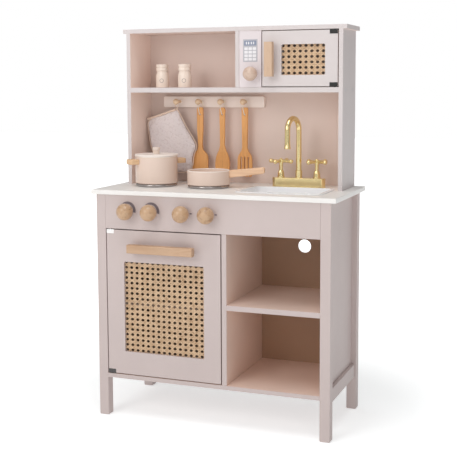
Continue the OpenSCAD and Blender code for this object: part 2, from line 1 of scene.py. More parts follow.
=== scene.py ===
"""A toy play kitchen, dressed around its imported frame: bevelled painted boards, woven cane, turned wood,
a gold faucet and a quilted mitt. Every length is in metres, in the frame's own coordinates."""
import json
import math
import random
import bmesh
import bpy
from mathutils import Matrix, Vector, noise


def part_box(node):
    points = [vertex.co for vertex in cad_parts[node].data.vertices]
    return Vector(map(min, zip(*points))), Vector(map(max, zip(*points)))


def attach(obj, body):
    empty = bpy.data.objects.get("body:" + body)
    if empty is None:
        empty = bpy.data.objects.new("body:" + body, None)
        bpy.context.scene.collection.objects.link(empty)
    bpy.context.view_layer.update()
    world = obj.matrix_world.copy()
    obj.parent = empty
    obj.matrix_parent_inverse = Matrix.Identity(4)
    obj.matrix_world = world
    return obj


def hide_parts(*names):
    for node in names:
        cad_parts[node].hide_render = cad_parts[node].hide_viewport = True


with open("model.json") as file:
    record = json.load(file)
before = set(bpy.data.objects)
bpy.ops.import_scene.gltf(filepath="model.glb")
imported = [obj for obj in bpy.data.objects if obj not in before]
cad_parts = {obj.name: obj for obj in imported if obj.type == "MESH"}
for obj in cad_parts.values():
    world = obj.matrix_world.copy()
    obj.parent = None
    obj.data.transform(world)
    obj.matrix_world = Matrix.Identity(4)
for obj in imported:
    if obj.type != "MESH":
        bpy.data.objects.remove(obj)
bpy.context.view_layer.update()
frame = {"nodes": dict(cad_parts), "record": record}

MM = 0.001
RECORD = frame["record"]
BODY_OF = {n: body for body, nodes in RECORD["behaviour"]["bodies"].items() for n in nodes}


def srgb(r, g, b):
    """A colour given in 0 to 255 display values, as linear RGBA."""
    def linear(v):
        v /= 255
        return v / 12.92 if v <= 0.04045 else ((v + 0.055) / 1.055) ** 2.4
    return (linear(r), linear(g), linear(b), 1.0)


def tint(colour, k):
    """The colour made k times as bright."""
    return tuple(min(1.0, c * k) for c in colour[:3]) + (1.0,)


BLACK = (0, 0, 0, 1)
WHITE = (1, 1, 1, 1)


# ---------------------------------------------------------------- materials

class Shader:
    """A material with a Principled surface, and short calls that add nodes to it."""

    def __init__(self, name, **values):
        self.mat = bpy.data.materials.new(name)
        self.mat.use_nodes = True
        self.tree = self.mat.node_tree
        self.surface = self.tree.nodes["Principled BSDF"]
        for key, value in values.items():
            self.surface.inputs[key.replace("_", " ")].default_value = value

    def node(self, kind, links=None, values=None, **settings):
        """A new node with its inputs linked or set, and its own properties set."""
        n = self.tree.nodes.new(kind)
        for key, value in settings.items():
            setattr(n, key, value)
        for key, value in (values or {}).items():
            n.inputs[key].default_value = value
        for key, socket in (links or {}).items():
            self.tree.links.new(socket, n.inputs[key])
        return n

    def place(self, stretch=(1, 1, 1), turn=(0, 0, 0)):
        """Object coordinates, turned and then scaled along each axis."""
        coords = self.node("ShaderNodeTexCoord").outputs["Object"]
        mapping = self.node("ShaderNodeMapping", {"Vector": coords},
                            {"Scale": tuple(1 / v for v in stretch), "Rotation": turn},
                            vector_type="TEXTURE")
        return mapping.outputs["Vector"]

    def noise(self, vector, scale, detail=2.0, rough=0.5, warp=0.0):
        n = self.node("ShaderNodeTexNoise", {"Vector": vector},
                      {"Scale": scale, "Detail": detail, "Roughness": rough, "Distortion": warp})
        return n.outputs["Fac"]

    def ramp(self, fac, *stops):
        """fac as a colour that runs through stops of (position, colour)."""
        n = self.node("ShaderNodeValToRGB", {"Fac": fac})
        band = n.color_ramp
        while len(band.elements) < len(stops):
            band.elements.new(0.5)
        for element, (at, colour) in zip(band.elements, stops):
            element.position = at
            element.color = colour
        return n.outputs["Color"]

    def grey(self, fac, low, high):
        """fac from 0 to 1, as a value from low to high."""
        n = self.node("ShaderNodeMapRange", {"Value": fac}, {"To Min": low, "To Max": high})
        return n.outputs["Result"]

    def math(self, operation, a, b):
        n = self.node("ShaderNodeMath", operation=operation)
        for i, v in enumerate((a, b)):
            if isinstance(v, (int, float)):
                n.inputs[i].default_value = v
            else:
                self.tree.links.new(v, n.inputs[i])
        return n.outputs[0]

    def mix(self, fac, a, b):
        """Colour a where fac is 0 and b where it is 1. Each may be a value or a socket."""
        n = self.node("ShaderNodeMix", data_type="RGBA")
        for key, v in (("Factor", fac), ("A", a), ("B", b)):
            sockets = [s for s in n.inputs if s.name == key and s.enabled]
            if isinstance(v, (int, float, tuple)):
                sockets[0].default_value = v
            else:
                self.tree.links.new(v, sockets[0])
        return [s for s in n.outputs if s.enabled][0]

    def feed(self, key, socket):
        self.tree.links.new(socket, self.surface.inputs[key])

    def bump(self, height, depth, strength):
        n = self.node("ShaderNodeBump", {"Height": height},
                      {"Strength": strength, "Distance": depth})
        self.feed("Normal", n.outputs["Normal"])


def paint(name, colour, roughness=0.45):
    """Sprayed satin paint: faint mottle, a fine orange peel and slightly uneven gloss."""
    s = Shader(name)
    at = s.place()
    cloud = s.noise(at, 7.0, 4.0, 0.6)
    speck = s.noise(at, 900.0, 2.0)
    tone = s.ramp(cloud, (0.25, tint(colour, 0.965)), (0.75, tint(colour, 1.03)))
    s.feed("Base Color", s.mix(s.grey(speck, 0.0, 0.12), tone, tint(colour, 0.9)))
    s.feed("Roughness", s.grey(s.noise(at, 30.0, 3.0), roughness - 0.06, roughness + 0.08))
    s.bump(s.math("ADD", s.noise(at, 420.0, 3.0), s.math("MULTIPLY", speck, 0.4)), 0.0004, 0.18)
    return s.mat


def wood(name, light, dark, along="Z", roughness=0.5, turn=0.0, varnish=0.0):
    """Sanded wood: long fibres and soft growth bands along one axis, with fine dark pores."""
    s = Shader(name, Coat_Weight=varnish, Coat_Roughness=0.12)
    squeeze = {"X": (0.06, 1, 1), "Y": (1, 0.06, 1), "Z": (1, 1, 0.06)}[along]
    about_z = (0, 0, math.radians(turn))
    at = s.place(squeeze, about_z)
    band = s.noise(at, 60.0, 3.0, 0.55, 1.6)
    fibre = s.noise(at, 480.0, 4.0, 0.7)
    pore = s.noise(s.place(tuple(v * 0.5 if v < 1 else v for v in squeeze), about_z), 1500.0, 2.0)
    tone = s.ramp(band, (0.30, dark), (0.50, light), (0.66, tint(light, 1.05)), (0.80, dark))
    tone = s.mix(s.grey(fibre, 0.0, 0.45), tone, tint(light, 0.86))
    specks = s.ramp(pore, (0.30, WHITE), (0.38, BLACK))
    s.feed("Base Color", s.mix(s.math("MULTIPLY", specks, 0.35), tone, tint(dark, 0.6)))
    s.feed("Roughness", s.grey(fibre, roughness - 0.05, roughness + 0.12))
    s.bump(s.math("SUBTRACT", fibre, s.math("MULTIPLY", specks, 0.6)), 0.0003, 0.25)
    return s.mat


def metal(name, colour, roughness, brush=0.0, grain=0.12):
    """Plated metal: faint clouds in its colour and gloss, a slight ripple and fine brush lines if
    brush is over 0."""
    s = Shader(name, Metallic=1.0)
    at = s.place()
    cloud = s.noise(at, 55.0, 3.0)
    s.feed("Base Color", s.ramp(cloud, (0.2, tint(colour, 0.94)), (0.8, tint(colour, 1.04))))
    s.feed("Roughness", s.grey(s.noise(at, 160.0, 3.0), roughness - 0.05, roughness + 0.07))
    lines = s.noise(s.place((1, 1, 0.03)), 2200.0, 2.0)
    s.bump(s.math("ADD", s.math("MULTIPLY", lines, brush), s.noise(at, 300.0)), 0.0001, grain)
    return s.mat


def plastic(name, colour, roughness, grain=0.1):
    """Moulded plastic with a fine spark-eroded grain."""
    s = Shader(name)
    at = s.place()
    cloud = s.noise(at, 14.0, 3.0)
    s.feed("Base Color", s.ramp(cloud, (0.3, tint(colour, 0.97)), (0.7, tint(colour, 1.02))))
    s.feed("Roughness", s.grey(s.noise(at, 90.0), roughness - 0.04, roughness + 0.06))
    s.bump(s.noise(at, 1500.0, 2.0), 0.0002, grain)
    return s.mat


def cane_skin(name, light, dark):
    """Split cane: a hard yellowish skin with darker patches and fine fibres."""
    s = Shader(name)
    at = s.place()
    patch = s.noise(at, 110.0, 2.0, 0.6)
    fine = s.noise(at, 1300.0, 3.0, 0.7)
    tone = s.ramp(patch, (0.25, dark), (0.55, light), (0.8, tint(light, 1.1)))
    s.feed("Base Color", s.mix(s.grey(fine, 0.0, 0.3), tone, tint(dark, 0.8)))
    s.feed("Roughness", s.grey(fine, 0.42, 0.62))
    s.bump(fine, 0.0002, 0.3)
    return s.mat


def cloth(name, colour, thread=0.9 * MM, fleck=None):
    """Plain-woven cotton: crossing threads, slubs and a soft sheen, with optional printed flecks."""
    s = Shader(name, Roughness=0.9, Sheen_Weight=0.25, Sheen_Roughness=0.5)
    waves = []
    for direction in ("X", "Z"):
        n = s.node("ShaderNodeTexWave", {"Vector": s.place()},
                   {"Scale": 0.314 / thread, "Distortion": 0.6, "Detail": 1.0, "Detail Scale": 2.0},
                   wave_type="BANDS", bands_direction=direction)
        waves.append(n.outputs["Fac"])
    weave = s.math("MAXIMUM", *waves)
    slub = s.noise(s.place(), 260.0, 4.0, 0.65)
    cloud = s.noise(s.place(), 18.0, 3.0)
    tone = s.ramp(cloud, (0.3, tint(colour, 0.95)), (0.7, tint(colour, 1.04)))
    tone = s.mix(s.grey(slub, 0.0, 0.25), tone, tint(colour, 0.84))
    if fleck:
        marks = s.ramp(s.noise(s.place(), 150.0, 3.0, 0.7), (0.54, BLACK), (0.62, WHITE))
        tone = s.mix(s.math("MULTIPLY", marks, 0.45), tone, fleck)
    # Between the threads the colour is mixed towards a darker tone: painted shade in the weave's hollows.
    s.feed("Base Color", s.mix(s.grey(weave, 0.16, 0.0), tone, tint(colour, 0.72)))
    s.bump(s.math("ADD", weave, slub), 0.0005, 0.35)
    return s.mat


BLUSH = srgb(204, 189, 186)
PALE = srgb(214, 205, 204)
# A lighter, warmer copy of the cabinet colour: painted warm bounce light for the cabinet's inside faces.
WARM_BOUNCE_LIGHT = srgb(237, 211, 197)
M = {
    "cabinet": paint("cabinet_paint", BLUSH),
    # inner_paint is the cabinet paint with painted warm bounce light, for the faces inside the cabinet.
    "inner": paint("inner_paint", WARM_BOUNCE_LIGHT, 0.55),
    # A darker copy of the cabinet paint: painted shade inside the closed oven, so that the cane's holes
    # look dark.
    "oven_inner": paint("oven_shade_paint", srgb(192, 168, 152), 0.6),
    # A darker, warmer copy of the cabinet paint: painted shade on the back of the bay.
    "inner_back": paint("bay_back_shade_paint", srgb(178, 144, 118), 0.55),
    "hutch": paint("hutch_paint", PALE),
    "control": paint("control_paint", srgb(226, 216, 218)),
    # A warmer copy of the hutch paint: painted warm bounce light on the faces inside and under the hutch.
    "hutch_back": paint("hutch_back_bounce_paint", srgb(229, 210, 201), 0.55),
    # A lighter copy of the hutch paint: painted bounce light on the inner faces of the hutch's sides.
    "hutch_inner": paint("hutch_side_bounce_lit_paint", srgb(252, 231, 220), 0.55),
    # The rail's paint is partly its own paler colour and partly painted light against the shade under the
    # shelf.
    "rail": paint("rail_pale_and_lit_paint", srgb(252, 239, 231)),
    "top": paint("worktop_paint", srgb(243, 240, 237), 0.38),
    "sink": plastic("sink_plastic", srgb(248, 249, 251), 0.25, 0.04),
    "hob": metal("hob_silver", srgb(176, 170, 168), 0.22, 0.2, 0.05),
    "beech_x": wood("beech_x", srgb(203, 168, 138), srgb(186, 146, 114), "X"),
    "beech_y": wood("beech_y", srgb(199, 162, 126), srgb(168, 126, 88), "Y", 0.4, varnish=0.8),
    "beech_z": wood("beech_z", srgb(210, 179, 152), srgb(193, 157, 128), "Z"),
    "pot_beech": wood("pot_beech", srgb(226, 188, 148), srgb(206, 162, 118), "X", turn=50),
    "pan_beech": wood("pan_beech", srgb(248, 209, 174), srgb(229, 184, 146), "X", turn=12),
    "utensil": wood("utensil_wood", srgb(237, 175, 108), srgb(212, 148, 84), "Z"),
    "peg": wood("peg_wood", srgb(240, 212, 180), srgb(222, 188, 152), "Y", 0.42),
    "pale_knob": wood("pale_knob", srgb(215, 188, 170), srgb(194, 164, 142), "Y", 0.4, varnish=0.8),
    "turned": wood("turned_wood", srgb(243, 227, 214), srgb(230, 208, 191), "Z"),
    "cream": paint("cream_paint", srgb(230, 208, 194), 0.3),
    "lid": paint("lid_paint", srgb(246, 236, 228), 0.36),
    "lid_knob": paint("lid_knob_paint", srgb(230, 214, 203), 0.36),
    "gold": metal("satin_gold", srgb(243, 224, 168), 0.17, grain=0.02),
    "steel": metal("zinc_steel", srgb(212, 212, 214), 0.3, 0.5),
    "bright": metal("bright_zinc", srgb(250, 248, 247), 0.55, 0.4),
    "dark_steel": metal("dark_steel", srgb(96, 94, 94), 0.42),
    "black": plastic("black_enamel", srgb(24, 22, 22), 0.4),
    "white": plastic("white_plastic", srgb(232, 230, 228), 0.4),
    "cane": cane_skin("cane_skin", srgb(216, 184, 150), srgb(186, 150, 114)),
    "cotton": cloth("quilted_cotton", srgb(236, 226, 226), fleck=srgb(206, 190, 190)),
    "binding": cloth("binding_cotton", srgb(242, 218, 200), 0.7 * MM),
    "string": cloth("cotton_string", srgb(250, 240, 226), 0.6 * MM),
    "print": plastic("dial_ink", srgb(124, 113, 118), 0.6),
    "label": plastic("label_film", srgb(186, 184, 190), 0.45, 0.03),
    "display": plastic("label_display", srgb(136, 144, 164), 0.3, 0.03),
    "key": plastic("label_key", srgb(232, 230, 233), 0.45, 0.03),
    "mark": plastic("grey_ink", srgb(160, 148, 142), 0.6),
}


# ---------------------------------------------------------------- pieces

def add_object(name, data):
    o = bpy.data.objects.new(name, data)
    bpy.context.scene.collection.objects.link(o)
    return o


def mesh_of(name, bm):
    """A bmesh as a mesh. The bmesh is used up."""
    mesh = bpy.data.meshes.new(name)
    bm.to_mesh(mesh)
    bm.free()
    return mesh


def piece(name, bm, materials, body, replaces=(), degrees=38):
    """Turns a bmesh into a smoothly shaded object that rides on a body. Edges sharper than degrees
    stay sharp."""
    mesh = mesh_of(name, bm)
    for m in materials:
        mesh.materials.append(m)
    for p in mesh.polygons:
        p.use_smooth = True
    mesh.set_sharp_from_angle(angle=math.radians(degrees))
    o = add_object(name, mesh)
    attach(o, body)
    if replaces:
        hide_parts(*replaces)
    return o


def solid_of(node):
    """A CAD node's mesh as a welded bmesh whose flat areas are single faces."""
    bm = bmesh.new()
    bm.from_mesh(frame["nodes"][node].data)
    bmesh.ops.remove_doubles(bm, verts=bm.verts, dist=0.002 * MM)
    bmesh.ops.dissolve_limit(bm, angle_limit=math.radians(0.6), verts=bm.verts, edges=bm.edges)
    return bm


def round_edges(bm, radius, segments=2, degrees=40):
    """Rounds the edges that turn by more than an angle."""
    edges = [e for e in bm.edges if len(e.link_faces) == 2
             and e.calc_face_angle(0.0) > math.radians(degrees)]
    bmesh.ops.bevel(bm, geom=edges, offset=radius, segments=segments, affect="EDGES",
                    profile=0.5, clamp_overlap=True)


def finished(node, bm, materials, weight=100):
    """Stands a reworked copy in a CAD node's place. A high weight shades its large faces flat."""
    o = piece(node + "_finished", bm, materials, BODY_OF[node], (node,))
    flat = o.modifiers.new("flat_faces", "WEIGHTED_NORMAL")
    flat.keep_sharp = True
    flat.weight = weight


def refined(node, materials, pick=None, radius=0.9 * MM, segments=2):
    """A CAD node with its edges rounded. pick(centre, normal) gives the number of a face's material."""
    bm = solid_of(node)
    if radius:
        round_edges(bm, radius, segments)
    if pick:
        for f in bm.faces:
            f.material_index = pick(f.calc_center_median(), f.normal)
    finished(node, bm, materials)


def lathe(profile, centre, steps=72):
    """A turned solid: profile is (radius, height) points from the axis back to the axis."""
    bm = bmesh.new()
    rings = []
    for r, h in profile:
        if r < 1e-7:
            rings.append([bm.verts.new(Vector((0, 0, h)) + Vector(centre))])
            continue
        ring = []
        for i in range(steps):
            a = 2 * math.pi * i / steps
            ring.append(bm.verts.new(Vector((r * math.cos(a), r * math.sin(a), h)) + Vector(centre)))
        rings.append(ring)
    for low, high in zip(rings, rings[1:]):
        for i in range(steps):
            j = (i + 1) % steps
            corners = [low[i % len(low)], low[j % len(low)], high[j % len(high)], high[i % len(high)]]
            corners = list(dict.fromkeys(corners))
            if len(corners) > 2:
                bm.faces.new(corners)
    bmesh.ops.recalc_face_normals(bm, faces=bm.faces)
    return bm


def arc(cx, cy, r, start, end, steps):
    """Points on an arc, in degrees."""
    out = []
    for i in range(steps + 1):
        a = math.radians(start + (end - start) * i / steps)
        out.append((cx + r * math.cos(a), cy + r * math.sin(a)))
    return out


def tube(points, radius, steps=10, closed=False):
    """A round tube along a list of points, of one radius or of one for each point."""
    bm = bmesh.new()
    points = [Vector(p) for p in points]
    n = len(points)
    radii = radius if isinstance(radius, list) else [radius] * n
    rings = []
    side = None
    for i, p in enumerate(points):
        before = points[i - 1] if i or closed else points[0]
        after = points[(i + 1) % n] if i + 1 < n or closed else points[-1]
        d = (after - before).normalized()
        if side is None:
            side = d.cross(Vector((0.31, 0.17, 0.93))).normalized()
        side = (side - d * side.dot(d)).normalized()
        up = d.cross(side)
        rings.append([bm.verts.new(p + (side * math.cos(t) + up * math.sin(t)) * radii[i])
                      for t in (2 * math.pi * k / steps for k in range(steps))])
    pairs = list(zip(rings, rings[1:]))
    if closed:
        pairs.append((rings[-1], rings[0]))
    else:
        bm.faces.new(rings[0][::-1])
        bm.faces.new(rings[-1])
    for a, b in pairs:
        for k in range(steps):
            j = (k + 1) % steps
            bm.faces.new((a[k], a[j], b[j], b[k]))
    bmesh.ops.recalc_face_normals(bm, faces=bm.faces)
    return bm


def merge(*parts):
    """Several bmeshes as one."""
    whole = bmesh.new()
    for bm in parts:
        mesh = mesh_of("part", bm)
        whole.from_mesh(mesh)
        bpy.data.meshes.remove(mesh)
    return whole


def slab(outline, y0, y1):
    """A flat plate with its outline in the XZ plane, from y0 to y1."""
    bm = bmesh.new()
    near = [bm.verts.new((x, y0, z)) for x, z in outline]
    far = [bm.verts.new((x, y1, z)) for x, z in outline]
    bm.faces.new(near)
    bm.faces.new(far[::-1])
    for i in range(len(near)):
        j = (i + 1) % len(near)
        bm.faces.new((near[i], far[i], far[j], near[j]))
    bmesh.ops.recalc_face_normals(bm, faces=bm.faces)
    return bm


def rounded(x0, x1, z0, z1, r, steps=5):
    """The outline of a rectangle with round corners."""
    out = []
    for cx, cz, start in ((x1 - r, z1 - r, 0), (x0 + r, z1 - r, 90),
                          (x0 + r, z0 + r, 180), (x1 - r, z0 + r, 270)):
        out += arc(cx, cz, r, start, start + 90, steps)
    return out


# ---------------------------------------------------------------- cabinet and hutch

LIP = 1.5 * MM  # a board's own colour goes this far in from its front edge


def inward(centre, normal):
    """Picks the second paint for side faces that look towards the middle. Each caller's second paint is a
    copy of its first: with painted bounce light for the right panel and the hutch sides, with painted
    shade for the oven's side.
    """
    return 1 if normal.x * centre.x < 0 else 0


def facing_down(centre, normal):
    return 1 if normal.z < -0.5 else 0


def facing_front(centre, normal):
    return 1 if normal.y < -0.5 else 0


def facing_back(centre, normal):
    return 1 if normal.y > 0.5 else 0


def cabinet_inside(centre, normal):
    """Picks the second paint behind a board's front edge, but not under the bottom panel. It is a copy of
    the board's paint: painted bounce light in the bay, painted shade in the oven.
    """
    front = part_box("front_fascia")[0].y
    underside = normal.z < -0.5 and centre.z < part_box("bottom_panel")[1].z - MM
    return 0 if centre.y < front + LIP or underside else 1


def divider_inside(centre, normal):
    """The same for the divider, with the oven's darker paint, painted shade, on its left face."""
    inside = cabinet_inside(centre, normal)
    return 2 if inside and normal.x < -0.5 else inside


def hutch_inside(centre, normal):
    return 0 if centre.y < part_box("hutch_shelf")[0].y + LIP else 1


def cabinet():
    # inner is the cabinet paint with painted warm bounce light; oven is a darker copy, painted shade
    # inside the closed oven.
    own, inner, oven = M["cabinet"], M["inner"], M["oven_inner"]
    for node in ("leg_front_left", "leg_front_right", "leg_rear_left", "leg_rear_right"):
        refined(node, [own], radius=1.6 * MM, segments=3)
    refined("side_rails", [own], radius=1.2 * MM)
    refined("side_panel_left", [own, oven], inward, radius=0.5 * MM)
    refined("side_panel_right", [own, inner], inward, radius=0.5 * MM)
    for node in ("bottom_panel", "bay_shelf"):
        refined(node, [own, inner], cabinet_inside)
    refined("centre_divider", [own, inner, oven], divider_inside)
    refined("oven_shelf", [own, oven], cabinet_inside)
    refined("front_fascia", [own, inner], facing_back)
    # The back panel's front face takes the darker copy of the cabinet paint: painted shade deep in the
    # bay.
    refined("lower_back_panel", [own, M["inner_back"]], facing_front, radius=0.4 * MM)
    refined("worktop", [M["top"]], radius=1.6 * MM, segments=3)
    refined("sink_basin", [M["sink"]], radius=1.0 * MM, segments=3)
    refined("hob_rings", [M["hob"]], radius=0.5 * MM)


def hutch():
    # back is the hutch paint with painted warm bounce light, for the faces inside and under the hutch.
    own, back = M["hutch"], M["hutch_back"]
    # The sides' inner faces take the lighter copy of the hutch paint: painted bounce light.
    for node in ("hutch_side_left", "hutch_side_right"):
        refined(node, [own, M["hutch_inner"]], inward, radius=1.1 * MM)
    refined("hutch_top", [own, back], facing_down, radius=1.2 * MM)
    for node in ("hutch_shelf", "hutch_divider"):
        refined(node, [own, back], hutch_inside)
    refined("hutch_back_panel", [own, back], facing_front, radius=0.3 * MM)
    refined("control_panel", [M["control"]], radius=0.6 * MM)
    # The rail's pale paint holds painted light that makes up for the shelf's shade.
    refined("hook_rail", [M["rail"]], radius=1.5 * MM, segments=3)
    refined("hook_pegs", [M["peg"]], radius=0)
    refined("door_magnets", [M["white"]], radius=0.8 * MM)


# ---------------------------------------------------------------- doors

# A strand's section, as parts of its width and thickness: rounded in front and shallow behind
SECTION = ((-0.5, 0.0), (-0.3, 0.38), (0.0, 0.5), (0.3, 0.38), (0.5, 0.0), (0.0, -0.4))


def strand(bm, points, width, thick):
    """A flat split-cane strand along points, its width in the XZ plane and its skin to the front."""
    rows = []
    for i, p in enumerate(points):
        before = points[max(i - 1, 0)]
        after = points[min(i + 1, len(points) - 1)]
        d = Vector((after.x - before.x, 0, after.z - before.z)).normalized()
        side = Vector((-d.z, 0, d.x))
        out = Vector((0, -1, 0))
        rows.append([bm.verts.new(p + side * u * width + out * v * thick) for u, v in SECTION])
    for a, b in zip(rows, rows[1:]):
        for k in range(len(SECTION)):
            j = (k + 1) % len(SECTION)
            bm.faces.new((a[k], a[j], b[j], b[k]))
    bm.faces.new(rows[0])
    bm.faces.new(rows[-1][::-1])


def cane_sheet(node, name, corner, pitch, seed):
    """Six-way cane: pairs of upright and level strands, and diagonals that cross between the holes.
    corner is how far the lowest left hole's centre is from the sheet's corner and pitch the holes'
    spacing, along X and Z."""
    lo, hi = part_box(node)
    px, pz = pitch
    x0, z0 = lo.x + corner[0], lo.z + corner[1]
    mid = (lo.y + hi.y) / 2
    wide, slim, thick = 2.95 * MM, 2.6 * MM, 0.55 * MM
    apart = 1.65 * MM  # from a pair's middle to each of its two strands
    swing = 0.38 * MM
    upright_layer, level_layer, diagonal_layer = 0.25 * MM, -0.1 * MM, -0.3 * MM
    count_x = int((hi.x - lo.x) / px) + 3
    count_z = int((hi.z - lo.z) / pz) + 3
    reach = 2 * (count_x + count_z)
    bm = bmesh.new()
    rng = random.Random(seed)

    def run(start, step, layer, phase, width):
        """One strand along start and whole steps, inside the sheet; it dips at every other step."""
        points = []
        for k in range(-reach, reach + 1):
            x, z = start[0] + step[0] * k, start[1] + step[1] * k
            if lo.x <= x <= hi.x and lo.z <= z <= hi.z:
                wave = swing if (k + phase) % 2 else -swing
                points.append(Vector((x, mid + layer + wave + rng.uniform(-0.05, 0.05) * MM, z)))
        if len(points) > 1:
            strand(bm, points, width * rng.uniform(0.94, 1.05), thick)

    for i in range(-2, count_x):
        for s in (-1, 1):
            x = x0 + (i + 0.5) * px + s * apart
            run((x, z0), (0, pz / 2), upright_layer, i + (s > 0), wide)
    for k in range(-2, count_z):
        for s in (-1, 1):
            z = z0 + (k + 0.5) * pz + s * apart
            run((x0, z), (px / 2, 0), level_layer, k + (s > 0), wide)
    for way in (-1, 1):
        for i in range(-count_z - 2, count_x + count_z + 2):
            run((x0 + (i + 0.5) * px, z0), (px / 2, way * pz / 2), diagonal_layer, i, slim)
    piece(name, bm, [M["cane"]], BODY_OF[node], (node,), 50)


def doors():
    for node in ("oven_door_frame", "oven_door_bead"):
        refined(node, [M["cabinet"]])
    for node in ("microwave_door_frame", "microwave_door_bead"):
        refined(node, [M["hutch"]])
    cane_sheet("oven_door_cane", "oven_cane_weave",
               (11.6 * MM, 11.5 * MM), (13.8 * MM, 12.5 * MM), seed=15)
    cane_sheet("microwave_door_cane", "microwave_cane_weave",
               (10.8 * MM, 12.4 * MM), (13.9 * MM, 12.65 * MM), seed=20)
    refined("oven_door_handle", [M["beech_x"]], radius=1.4 * MM, segments=3)
    refined("microwave_door_handle", [M["beech_z"]], radius=1.4 * MM, segments=3)
    low_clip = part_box("oven_door_cane")[0].z
    refined("oven_door_hardware", [M["bright"], M["dark_steel"]],
            lambda c, n: 1 if c.z < low_clip else 0, radius=0.25 * MM)
    handle_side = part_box("microwave_door_cane")[0].x
    refined("microwave_door_hardware", [M["black"], M["steel"]],
            lambda c, n: 1 if c.x < handle_side else 0, radius=0.25 * MM)
    refined("screws", [M["steel"]], radius=0.25 * MM)


# ---------------------------------------------------------------- knobs, dials and keypad

def knobs():
    for node in ("stove_knob_1", "stove_knob_2", "stove_knob_3", "stove_knob_4", "microwave_knob"):
        lo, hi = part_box(node)
        ball = M["pale_knob"] if node == "microwave_knob" else M["beech_y"]
        neck = lo.y + (hi.x - lo.x) + 3.0 * MM  # the steel shaft starts behind this
        refined(node, [ball, M["steel"]], lambda c, n, neck=neck: 1 if c.y > neck else 0, radius=0)


def print_on(surface, outline, rise=0.15 * MM, sunk=0.05 * MM):
    """A flat print that stands a little proud of a surface, given by its Y."""
    return slab(outline, surface - rise, surface + sunk)


def dial(number, start, end, inner, outer, aside=0.0, taper=0.0):
    """A printed arc round a hob knob, from start to end degrees. Its centre lies aside to the left of
    the knob's and a little above it, and it narrows by taper towards its end."""
    lo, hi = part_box("stove_knob_%d" % number)
    x, z = (lo.x + hi.x) / 2 - aside, (lo.z + hi.z) / 2 + aside * 0.75
    steps = 36
    far = arc(x, z, outer, start, end, steps)
    near = []
    for i, (ux, uz) in enumerate(arc(0, 0, 1.0, start, end, steps)):
        u = i / steps
        r = outer - (outer - inner) * (1 - taper * u * u)
        near.append((x + ux * r, z + uz * r))
    bm = print_on(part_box("front_fascia")[0].y, far + near[::-1], 0.12 * MM)
    piece("dial_print_%d" % number, bm, [M["print"]], "cabinet")


def dials():
    """Dark crescents round the two left knobs and short ticks beside the two right ones."""
    for number in (1, 2):
        dial(number, -16, 142, 14.0 * MM, 20.8 * MM, 2.0 * MM, 0.4)
    for number in (3, 4):
        dial(number, -5, 5, 14.0 * MM, 19.5 * MM)


def keypad():
    """The microwave's printed panel: a display window with four bars over rows of light keys."""
    lo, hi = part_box("keypad_label")
    refined("keypad_label", [M["label"]], radius=0.1 * MM)
    w = hi.x - lo.x
    edge, foot = 2.5 * MM, 2 * MM
    window_foot, window_top = hi.z - 15 * MM, hi.z - 3 * MM
    window = rounded(lo.x + edge, hi.x - edge, window_foot, window_top, 1.2 * MM)
    piece("keypad_display", print_on(lo.y, window), [M["display"]], "cabinet")
    cols, rows = 3, 4
    cell_w = (w - 2 * edge) / cols
    cell_h = (window_foot - 3 * MM - lo.z - foot) / rows
    half_w, half_h = 0.42 * cell_w, 0.38 * cell_h
    keys = []
    for i in range(cols):
        for k in range(rows):
            x = lo.x + edge + (i + 0.5) * cell_w
            z = lo.z + foot + (k + 0.5) * cell_h
            key = rounded(x - half_w, x + half_w, z - half_h, z + half_h, 1.0 * MM)
            keys.append(print_on(lo.y, key, 0.25 * MM))
    half_bar = 1.4 * MM
    for k in range(4):
        x = lo.x + w * (0.24 + 0.155 * k + (0.03 if k > 1 else 0))
        bar = rounded(x - half_bar, x + half_bar, window_foot + 3 * MM, window_top - 3 * MM, 0.5 * MM)
        keys.append(slab(bar, lo.y - 0.22 * MM, lo.y - 0.1 * MM))
    piece("keypad_keys", merge(*keys), [M["key"]], "cabinet")


# ---------------------------------------------------------------- faucet, pots and shakers

def middle(node, low, high):
    """The middle, seen from above, of a CAD node's points between two heights."""
    points = [v.co for v in frame["nodes"][node].data.vertices if low <= v.co.z <= high]
    xs, ys = [p.x for p in points], [p.y for p in points]
    return (min(xs) + max(xs)) / 2, (min(ys) + max(ys)) / 2


def faucet():
    refined("faucet_base", [M["gold"]], radius=1.2 * MM, segments=3)
    for node in ("faucet_handle_left", "faucet_handle_right"):
        refined(node, [M["gold"]], radius=0.5 * MM)
    spout()


def spout():
    """The bent pipe, drawn again as a smooth tube that flares into a nozzle."""
    lo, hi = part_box("faucet_spout")
    pipe, nozzle, lip = 6.5 * MM, 8.25 * MM, 7.4 * MM
    foot_x, foot_y = middle("faucet_spout", lo.z, lo.z + MM)
    heights = sorted({round(v.co.z, 5) for v in frame["nodes"]["faucet_spout"].data.vertices})
    tip = next(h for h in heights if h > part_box("faucet_base")[1].z + 5 * MM)
    tip_x, tip_y = middle("faucet_spout", tip - 0.1 * MM, tip + 0.1 * MM)
    bend = math.hypot(tip_x - foot_x, tip_y - foot_y) / 2
    top = hi.z - pipe - bend
    route = [((foot_x, foot_y, lo.z), pipe), ((foot_x, foot_y, top), pipe)]
    for u, h in arc(0, 0, 1.0, 180, 0, 36):
        k = (u + 1) / 2
        x, y = foot_x + (tip_x - foot_x) * k, foot_y + (tip_y - foot_y) * k
        route.append(((x, y, top + h * bend), pipe))
    for above, r in ((17, pipe), (14, pipe * 1.02), (9, pipe * 1.08), (4, pipe * 1.2),
                     (1.6, nozzle), (0.6, nozzle), (0, lip), (3, lip * 0.85)):
        route.append(((tip_x, tip_y, tip + above * MM), r))
    points, radii = [p for p, r in route], [r for p, r in route]
    piece("spout_pipe", tube(points, radii, 40), [M["gold"]], "spout",
          ("faucet_spout",), 45)


